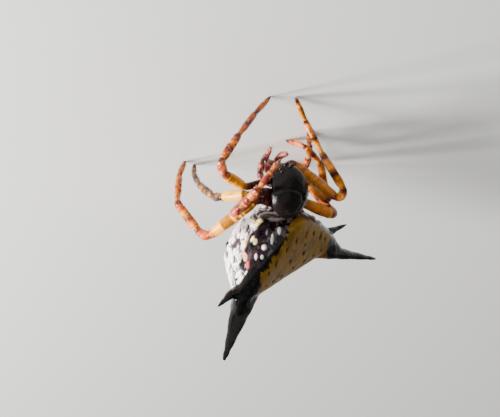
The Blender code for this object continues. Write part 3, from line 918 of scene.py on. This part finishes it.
# %% Palps
PALPS = {
    "left": ((0.60, 0.60, -0.58), (0.92, 1.02, -0.95), (0.98, 1.50, -0.97),
             (0.80, 2.00, -0.80), (0.46, 2.45, -0.52), (0.28, 2.85, -0.28)),
    "right": ((0.60, 0.60, -0.58), (0.94, 1.05, -0.97), (1.02, 1.50, -1.00),
              (1.04, 1.84, -0.66), (0.90, 2.00, -0.26), (0.74, 2.04, 0.10)),
}
PALP_COLOURS = [(place, linear(code)) for place, code in (
    (0.0, "#2E0C08"), (0.35, "#6E241A"), (0.42, "#2E0C0A"), (0.55, "#8A2E26"),
    (0.66, "#34100C"), (0.85, "#A8443C"), (1.0, "#B87068"))]
PALP_KNOTS, PALP_GIRTH = (0.2, 0.42, 0.62, 0.8), (0.22, 0.21, 0.20, 0.20, 0.20, 0.10)


def palp_stations(word, side):
    """Points along a palp, thinner at each of its joints."""
    path = [from_body(mirrored(p, side)) for p in PALPS[word]]
    stations = []
    for centre, tangent, radius, mark in curve_points(path, PALP_GIRTH, 60):
        knot = min(abs(mark - place) for place in PALP_KNOTS)
        radius *= 0.84 + 0.16 * smooth(0, 0.05, knot)
        stations.append((centre, tangent, radius, mark))
    return stations


for side, word in SIDES:
    part = bmesh.new()
    mark = pull_tube(part, palp_stations(word, side), 16)
    finish(f"{word}_feeler", part, LEG_CHITIN, [f"{word}_palp"],
           lambda vert: ramp(PALP_COLOURS, vert[mark]))

# %% [markdown]
# ## The legs
# A spider's leg has seven parts. Here they are six runs along one bent line: coxa with
# trochanter, femur, patella, tibia, metatarsus and tarsus. Each leg is one pulled tube
# that thins at each joint, so that it reads as jointed chitin. Each ring carries its
# place along the leg, and the bands of colour follow that.

# %% Lines of the legs
# Where each pair of legs leaves the body: out to its side, forward and up.
HIPS = {1: (0.50, 0.84, -0.56), 2: (0.60, 0.12, -0.56),
        3: (0.58, -0.22, -0.62), 4: (0.50, -0.82, -0.54)}
TOE_RADIUS, TOE_FLAT, BEND = 0.16, 0.05, 0.40
# Each leg: girth, whether it stands, then length, heading and pitch of its six parts, in
# the world. Heading is from x toward y, and a standing leg's last pitch is worked out.
LEGS = {
    "left_leg_1": (1.00, True, ((2.36, -38, 23), (2.54, -65, 4), (0.74, -82, -61),
                                (2.13, 168, -52), (2.06, 169, -49), (1.38, 171, None))),
    "left_leg_2": (1.00, False, ((1.87, -59, 20), (2.94, -35, 42), (0.98, -121, 9),
                                 (1.79, -136, -10), (1.39, 179, -46), (1.02, 159, -50))),
    "left_leg_3": (0.95, True, ((1.58, -25, -5), (1.95, 10, -12), (0.77, 61, -32),
                                (1.61, 34, -56), (1.44, 73, -59), (1.19, 102, None))),
    "left_leg_4": (1.05, True, ((1.82, -52, 3), (3.93, 26, 14), (0.98, 50, -45),
                                (2.42, -19, -63), (2.19, 146, -76), (1.18, 143, None))),
    "right_leg_1": (1.00, True, ((1.50, 146, -47), (3.67, 153, 44), (0.80, -127, -9),
                                 (2.56, -58, -48), (2.47, -68, -43), (1.55, -77, None))),
    "right_leg_2": (0.95, True, ((1.85, 139, -50), (3.37, 122, 20), (0.92, 74, -78),
                                 (1.99, -91, -34), (1.72, -60, -20), (1.22, 13, None))),
    "right_leg_3": (0.92, True, ((1.66, 120, -31), (2.16, 106, -49), (0.62, 158, -42),
                                 (0.74, -128, -25), (1.39, -99, -7), (0.87, -92, None))),
    "right_leg_4": (1.08, True, ((1.53, 122, -21), (3.19, 129, 2), (0.90, 79, -55),
                                 (2.02, -11, -60), (1.41, -35, -45), (0.87, -40, None))),
}


def toe_pitch(height, length):
    """The slope of the last part that sets the toe on the floor."""
    pitch = -45.0
    for _ in range(20):
        toe = TOE_RADIUS * math.cos(math.radians(pitch)) - TOE_FLAT
        pitch = math.degrees(math.asin((toe - height) / length))
    return pitch


def leg_joints(name):
    """The seven joints of a leg, from the hip to the toe."""
    side = -1 if name.startswith("left") else 1
    out, ahead, up = HIPS[int(name[-1])]
    joints = [from_body((side * out, ahead, up))]
    for length, heading, pitch in LEGS[name][2]:
        if pitch is None:
            pitch = toe_pitch(joints[-1].z, length)
        level = length * math.cos(math.radians(pitch))
        joints.append(joints[-1] + Vector((level * math.cos(math.radians(heading)),
                                           level * math.sin(math.radians(heading)),
                                           length * math.sin(math.radians(pitch)))))
    return joints


# %% Thickness of a leg along its length
# Place along the leg, counted in parts (0 hip, 1 femur's root, 2 knee, ...), and radius.
GIRTH = ((0.0, 0.20), (0.5, 0.235), (0.93, 0.235), (1.0, 0.20), (1.2, 0.30), (1.6, 0.345),
         (1.85, 0.30), (1.95, 0.26), (2.04, 0.225), (2.45, 0.29), (2.9, 0.24), (3.02, 0.20),
         (3.3, 0.265), (3.7, 0.25), (3.9, 0.235), (4.0, 0.215), (4.12, 0.15), (4.45, 0.20),
         (4.85, 0.195), (4.95, 0.18), (5.06, 0.14), (5.4, 0.175), (5.8, 0.14), (6.0, 0.09))


def leg_line(joints):
    """Points every 0.1 mm or so: (centre, tangent, place along the leg)."""
    line = []
    last = len(joints) - 2
    for k in range(last + 1):
        start, end = joints[k], joints[k + 1]
        length = (end - start).length
        along = (end - start) / length
        turn = min(BEND, 0.45 * length)
        first = 0.0 if k == 0 else turn
        final = length if k == last else length - turn
        steps = max(4, round((final - first) / 0.1))
        for i in range(steps):
            s = first + (final - first) * i / steps
            line.append((start + along * s, along, k + s / length))
        if k == last:
            line.append((end, along, k + 1.0))
            break
        onward = joints[k + 2] - end
        after = min(BEND, 0.45 * onward.length)
        onward = onward.normalized()
        a, b = end - along * turn, end + onward * after
        low, high = k + 1 - turn / length, k + 1 + after / (joints[k + 2] - end).length
        for i in range(8):
            t = i / 8
            centre = a * (1 - t) ** 2 + end * 2 * t * (1 - t) + b * t * t
            line.append((centre, along * (1 - t) + onward * t, low + (high - low) * t))
    return line


# %% Bands of colour on the legs
# Each leg: femur, knee, tibia, foot and band colour.
LEG_COLOURS = {
    "left_leg_1": ("#EE9A00", "#5E0E04", "#BE4A04", "#BA440A", "#4E0C02"),
    "left_leg_2": ("#A23420", "#620E06", "#AE3E2A", "#A63018", "#5A0E06"),
    # left_leg_3 past its femur is painted shade: its knee, tibia, foot and bands are dark grey
    # where the leg lies in shadow.
    "left_leg_3": ("#F0A200", "#2A1418", "#4A3434", "#5A3E3A", "#1C0E0E"),
    "left_leg_4": ("#EC9200", "#841602", "#B03E04", "#B24808", "#501002"),
    # The right legs' femora are a duller ochre than the left legs': partly their own colour,
    # partly painted shade, as this side lies away from the light.
    "right_leg_1": ("#C07206", "#5E1004", "#D8780C", "#E07C08", "#501004"),
    "right_leg_2": ("#B26208", "#5E1004", "#D0600C", "#D65C10", "#561004"),
    "right_leg_3": ("#B03C08", "#6E1206", "#C4561C", "#C8683C", "#561006"),
    "right_leg_4": ("#DC7E06", "#440C04", "#BC5A10", "#C07848", "#4A0E04"),
}
HIP_RED, CLAW, STRAW, LIVER = [linear(code) for code in
                               ("#3E100A", "#1C0E0A", "#F69C10", "#380A04")]


def band_table(name):
    """Colours along a leg, by place, for ramp."""
    femur, knee, tibia, foot, band = [linear(code) for code in LEG_COLOURS[name]]
    return ((0.0, HIP_RED), (0.85, HIP_RED), (1.12, femur.lerp(band, 0.7)), (1.30, femur),
            (1.84, femur), (1.94, knee), (2.10, knee), (2.40, tibia), (2.70, tibia),
            (2.86, band), (3.04, band), (3.14, tibia.lerp(STRAW, 0.4)), (3.36, tibia),
            (3.46, band), (3.56, band.lerp(tibia, 0.3)), (3.66, tibia.lerp(STRAW, 0.35)),
            (3.84, tibia), (3.93, band), (4.04, band), (4.16, foot.lerp(STRAW, 0.35)),
            (4.40, foot), (4.50, band), (4.60, band.lerp(foot, 0.3)), (4.70, foot),
            (4.88, foot.lerp(STRAW, 0.35)), (4.97, band), (5.05, band), (5.16, foot),
            (5.44, foot.lerp(STRAW, 0.3)), (5.56, band.lerp(foot, 0.3)), (5.72, foot),
            (5.9, band), (6.0, CLAW))


def leg_tint(vert, mark, bands, number):
    """The bands, with ragged edges, pale straw on top and liver-brown blotches."""
    p = vert.co
    shift = 0.07 * noise.noise(p * 2.0 + Vector((number, 0, 0)))
    colour = ramp(bands, vert[mark] + shift)
    if vert[mark] > 1.1:
        light = smooth(0.0, 0.45, noise.noise(p * 2.6 + Vector((0, number, 0))))
        dark = smooth(0.20, 0.42, noise.noise(p * 2.2 + Vector((0, 0, number))))
        colour = colour.lerp(STRAW, 0.3 * light)
        colour = colour.lerp(LIVER, dark * (0.2 + 0.35 * smooth(1.8, 2.0, vert[mark])))
    return colour


def leg_stations(name):
    """Stations along a leg, marked with the place along it."""
    return [(centre, tangent, LEGS[name][0] * ramp(GIRTH, place), place)
            for centre, tangent, place in leg_line(leg_joints(name))]


for number, name in enumerate(LEGS):
    part = bmesh.new()
    mark = pull_tube(part, leg_stations(name), 16)
    bands = band_table(name)
    if LEGS[name][1]:
        for vert in part.verts:
            vert.co.z = max(vert.co.z, 0.0)
    finish(f"{name}_shell", part, LEG_CHITIN,
           [f"{name}_{word}" for word in ("coxa", "femur", "tibia", "foot")],
           lambda vert: leg_tint(vert, mark, bands, number))

# %% [markdown]
# An orb weaver holds its thread with two curved claws on each foot. They are dark polished
# chitin, harder than the leg. A pulled tube per claw is enough at this size.

# %% Claws
# One claw from the toe: along the foot, out to the side, and down.
CLAW_PATH = ((-0.05, 0.03, -0.02), (0.04, 0.05, -0.02), (0.10, 0.06, 0.01), (0.11, 0.06, 0.06))
CLAW_HORN, tree, shader = new_material("claw_horn")
place = add_node(tree, "ShaderNodeTexCoord")
streaks = add_node(tree, "ShaderNodeTexNoise", Vector=place.outputs["Object"],
                   Scale=1 / (0.05 * MM))
horn = add_node(tree, "ShaderNodeValToRGB", Fac=streaks.outputs["Fac"])
horn.color_ramp.elements[0].color = (*linear("#120A08"), 1)
horn.color_ramp.elements[1].color = (*linear("#3A2014"), 1)
tree.links.new(horn.outputs["Color"], shader.inputs["Base Color"])
shader.inputs["Roughness"].default_value = 0.3
shader.inputs["IOR"].default_value = 1.56
for name in LEGS:
    toe, ahead, _, _ = leg_stations(name)[-1]
    ahead = ahead.normalized()
    aside = ahead.cross(Vector((0, 0, 1))).normalized()
    down = ahead.cross(aside).normalized()
    down = -down if down.z > 0 else down
    part = bmesh.new()
    for side, _ in SIDES:
        path = [toe + ahead * along + aside * side * out + down * drop
                for along, out, drop in CLAW_PATH]
        pull_tube(part, curve_points(path, (0.03, 0.027, 0.018, 0.004), 10), 8)
    for vert in part.verts:
        vert.co.z = max(vert.co.z, 0.003)
    finish(f"{name}_claws", part, CLAW_HORN, [])

# %% [markdown]
# ## Bristles
# Short bristles stand on the legs and the feelers. Hair curves would be the quick way, but
# only real mesh lasts in an exported model, so each bristle is a three-sided cone that
# leans toward the tip of its limb. They are drawn about twice as thick as real ones,
# because a real one is too thin to show. Each keeps the colour of the skin at its root,
# and its own small patch on a plan of that skin: along the limb, and around it.

# %% Growing bristles
import random

PATCH = 0.0015  # half of the width of a bristle's patch on its plan
BRISTLE, tree, shader = new_material("bristle_chitin")
tint = add_node(tree, "ShaderNodeVertexColor", {"layer_name": "tint"})
tree.links.new(tint.outputs["Color"], shader.inputs["Base Color"])
shader.inputs["Roughness"].default_value = 0.45
shader.inputs["IOR"].default_value = 1.56
PALE_HAIR, DARK_HAIR = linear("#D8C4A0"), linear("#1A0E0A")
CORNERS = ((0, 0), (PATCH, 0), (0, PATCH), (PATCH, PATCH), (-PATCH, 0), (0, -PATCH))
LOW, HIGH = [Vector(corner) / MM for corner in cad_box]
BRISTLE_RADIUS = 0.011


def grow(bm, root, direction, length, width, colour, plan):
    """One bristle, if it stays in the solid model's box. Returns how many it made.

    plan is the place of its root on the plan of the skin.
    """
    tip = root + direction * length
    if any(tip[k] < LOW[k] + 0.02 or tip[k] > HIGH[k] - 0.02 for k in range(3)):
        return 0
    tone = tint_layer(bm)
    sheet = bm.loops.layers.uv.get("OFBake") or bm.loops.layers.uv.new("OFBake")
    place = Matrix.Translation(root + direction * length * 0.42) @ \
        direction.to_track_quat("Z", "Y").to_matrix().to_4x4()
    made = bmesh.ops.create_cone(bm, cap_ends=True, segments=3, radius1=width,
                                 radius2=width * 0.2, depth=length, matrix=place)["verts"]
    for vert, corner in zip(made, CORNERS):
        vert[tone] = (*colour, 1.0)
        for loop in vert.link_loops:
            loop[sheet].uv = (plan[0] + corner[0], plan[1] + corner[1])
    return 1


def clothe(bm, stations, colours, column, each, longest):
    """Bristles along a limb, each at its own turn round it. Returns how many."""
    across = stations[0][1].orthogonal().normalized()
    count = 0
    for centre, tangent, radius, mark in stations:
        tangent = tangent.normalized()
        across = (across - tangent * across.dot(tangent)).normalized()
        for _ in range(each):
            turn = random.random()
            angle = 2 * math.pi * turn
            out = across * math.cos(angle) + tangent.cross(across) * math.sin(angle)
            slip = centre + tangent * random.uniform(-0.05, 0.05)
            lean = (out * random.uniform(0.5, 0.9) + tangent).normalized()
            colour = ramp(colours, mark).lerp(random.choice((PALE_HAIR, DARK_HAIR)), 0.55)
            plan = ((column + 0.02 + turn * 0.94) / 10, 0.01 + 0.97 * mark / stations[-1][3])
            length = longest * random.uniform(0.5, 1.0)
            root = slip + out * radius * 0.97
            count += grow(bm, root, lean, length, BRISTLE_RADIUS, colour, plan)
    return count


random.seed(11)
part = bmesh.new()
count = 0
for number, name in enumerate(LEGS):
    bare = [station for station in leg_stations(name) if station[3] > 0.9]
    count += clothe(part, bare, band_table(name), number, 4, 0.20)
print("leg bristles:", count)
finish("leg_bristles", part, BRISTLE, [])
part = bmesh.new()
count = 0
for number, (side, word) in enumerate(SIDES):
    bare = palp_stations(word, side)[15:]
    count += clothe(part, bare, PALP_COLOURS, len(LEGS) + number, 4, 0.16)
print("feeler bristles:", count)
finish("feeler_bristles", part, BRISTLE, [])

# %% [markdown]
# ## Floor, light and camera
# The model stands on a plain pale floor. The light is soft and comes mostly from one
# side, low, as in early sun. The camera looks down at 30 degrees and is rolled over,
# because the living spider hangs head down in its web.

# %% Floor
part = bmesh.new()
bmesh.ops.create_grid(part, x_segments=1, y_segments=1, size=400)
bmesh.ops.scale(part, vec=(MM, MM, MM), verts=part.verts)
mesh = bpy.data.meshes.new("floor")
part.to_mesh(mesh)
part.free()
floor = bpy.data.objects.new("floor", mesh)
bpy.context.scene.collection.objects.link(floor)
PALE_FLOOR, tree, shader = new_material("pale_floor")
shader.inputs["Base Color"].default_value = (*linear("#DEDDD8"), 1)
shader.inputs["Roughness"].default_value = 0.9
mesh.materials.append(PALE_FLOOR)

# %% Light
def soft_light(name, toward, distance, size, power):
    """A square soft box toward a direction. Distance and size in mm, power in watts."""
    data = bpy.data.lights.new(name, "AREA")
    data.size = size * MM
    data.energy = power
    lamp = bpy.data.objects.new(name, data)
    toward = Vector(toward).normalized()
    lamp.location = (BODY_CENTRE + toward * distance) * MM
    lamp.rotation_euler = toward.to_track_quat("Z", "Y").to_euler()
    bpy.context.scene.collection.objects.link(lamp)


soft_light("key", (0.88, -0.38, 0.28), 120, 40, 0.46)
soft_light("edge", (0.96, -0.05, 0.13), 110, 16, 0.40)
soft_light("fill", (-0.4, -0.8, 0.7), 140, 120, 0.03)
soft_light("rim", (0.1, 0.8, 0.6), 140, 90, 0.04)
world = bpy.data.worlds.new("studio")
world.use_nodes = True
backdrop = world.node_tree.nodes["Background"]
backdrop.inputs["Color"].default_value = (1, 1, 1, 1)
backdrop.inputs["Strength"].default_value = 0.21
bpy.context.scene.world = world

# %% Camera
back = Vector((0.0, -0.866, 0.5)).normalized()
right = Vector((-0.982, 0.096, 0.165))
right = (right - back * right.dot(back)).normalized()
up = back.cross(right)
aim = BODY_CENTRE - 2.24 * right - 1.12 * up
DISTANCE, FRAME_WIDTH, SENSOR = 170.0, 30.3, 36  # all in mm
data = bpy.data.cameras.new("camera")
data.sensor_width = SENSOR
data.lens = SENSOR * DISTANCE / FRAME_WIDTH
data.clip_start = 0.001
camera = bpy.data.objects.new("camera", data)
pose = Matrix((right, up, back)).transposed().to_4x4()
pose.translation = (aim + back * DISTANCE) * MM
camera.matrix_world = pose
bpy.context.scene.collection.objects.link(camera)
bpy.context.scene.camera = camera
print("camera height above the floor:", round(camera.matrix_world.translation.z / MM, 1), "mm")
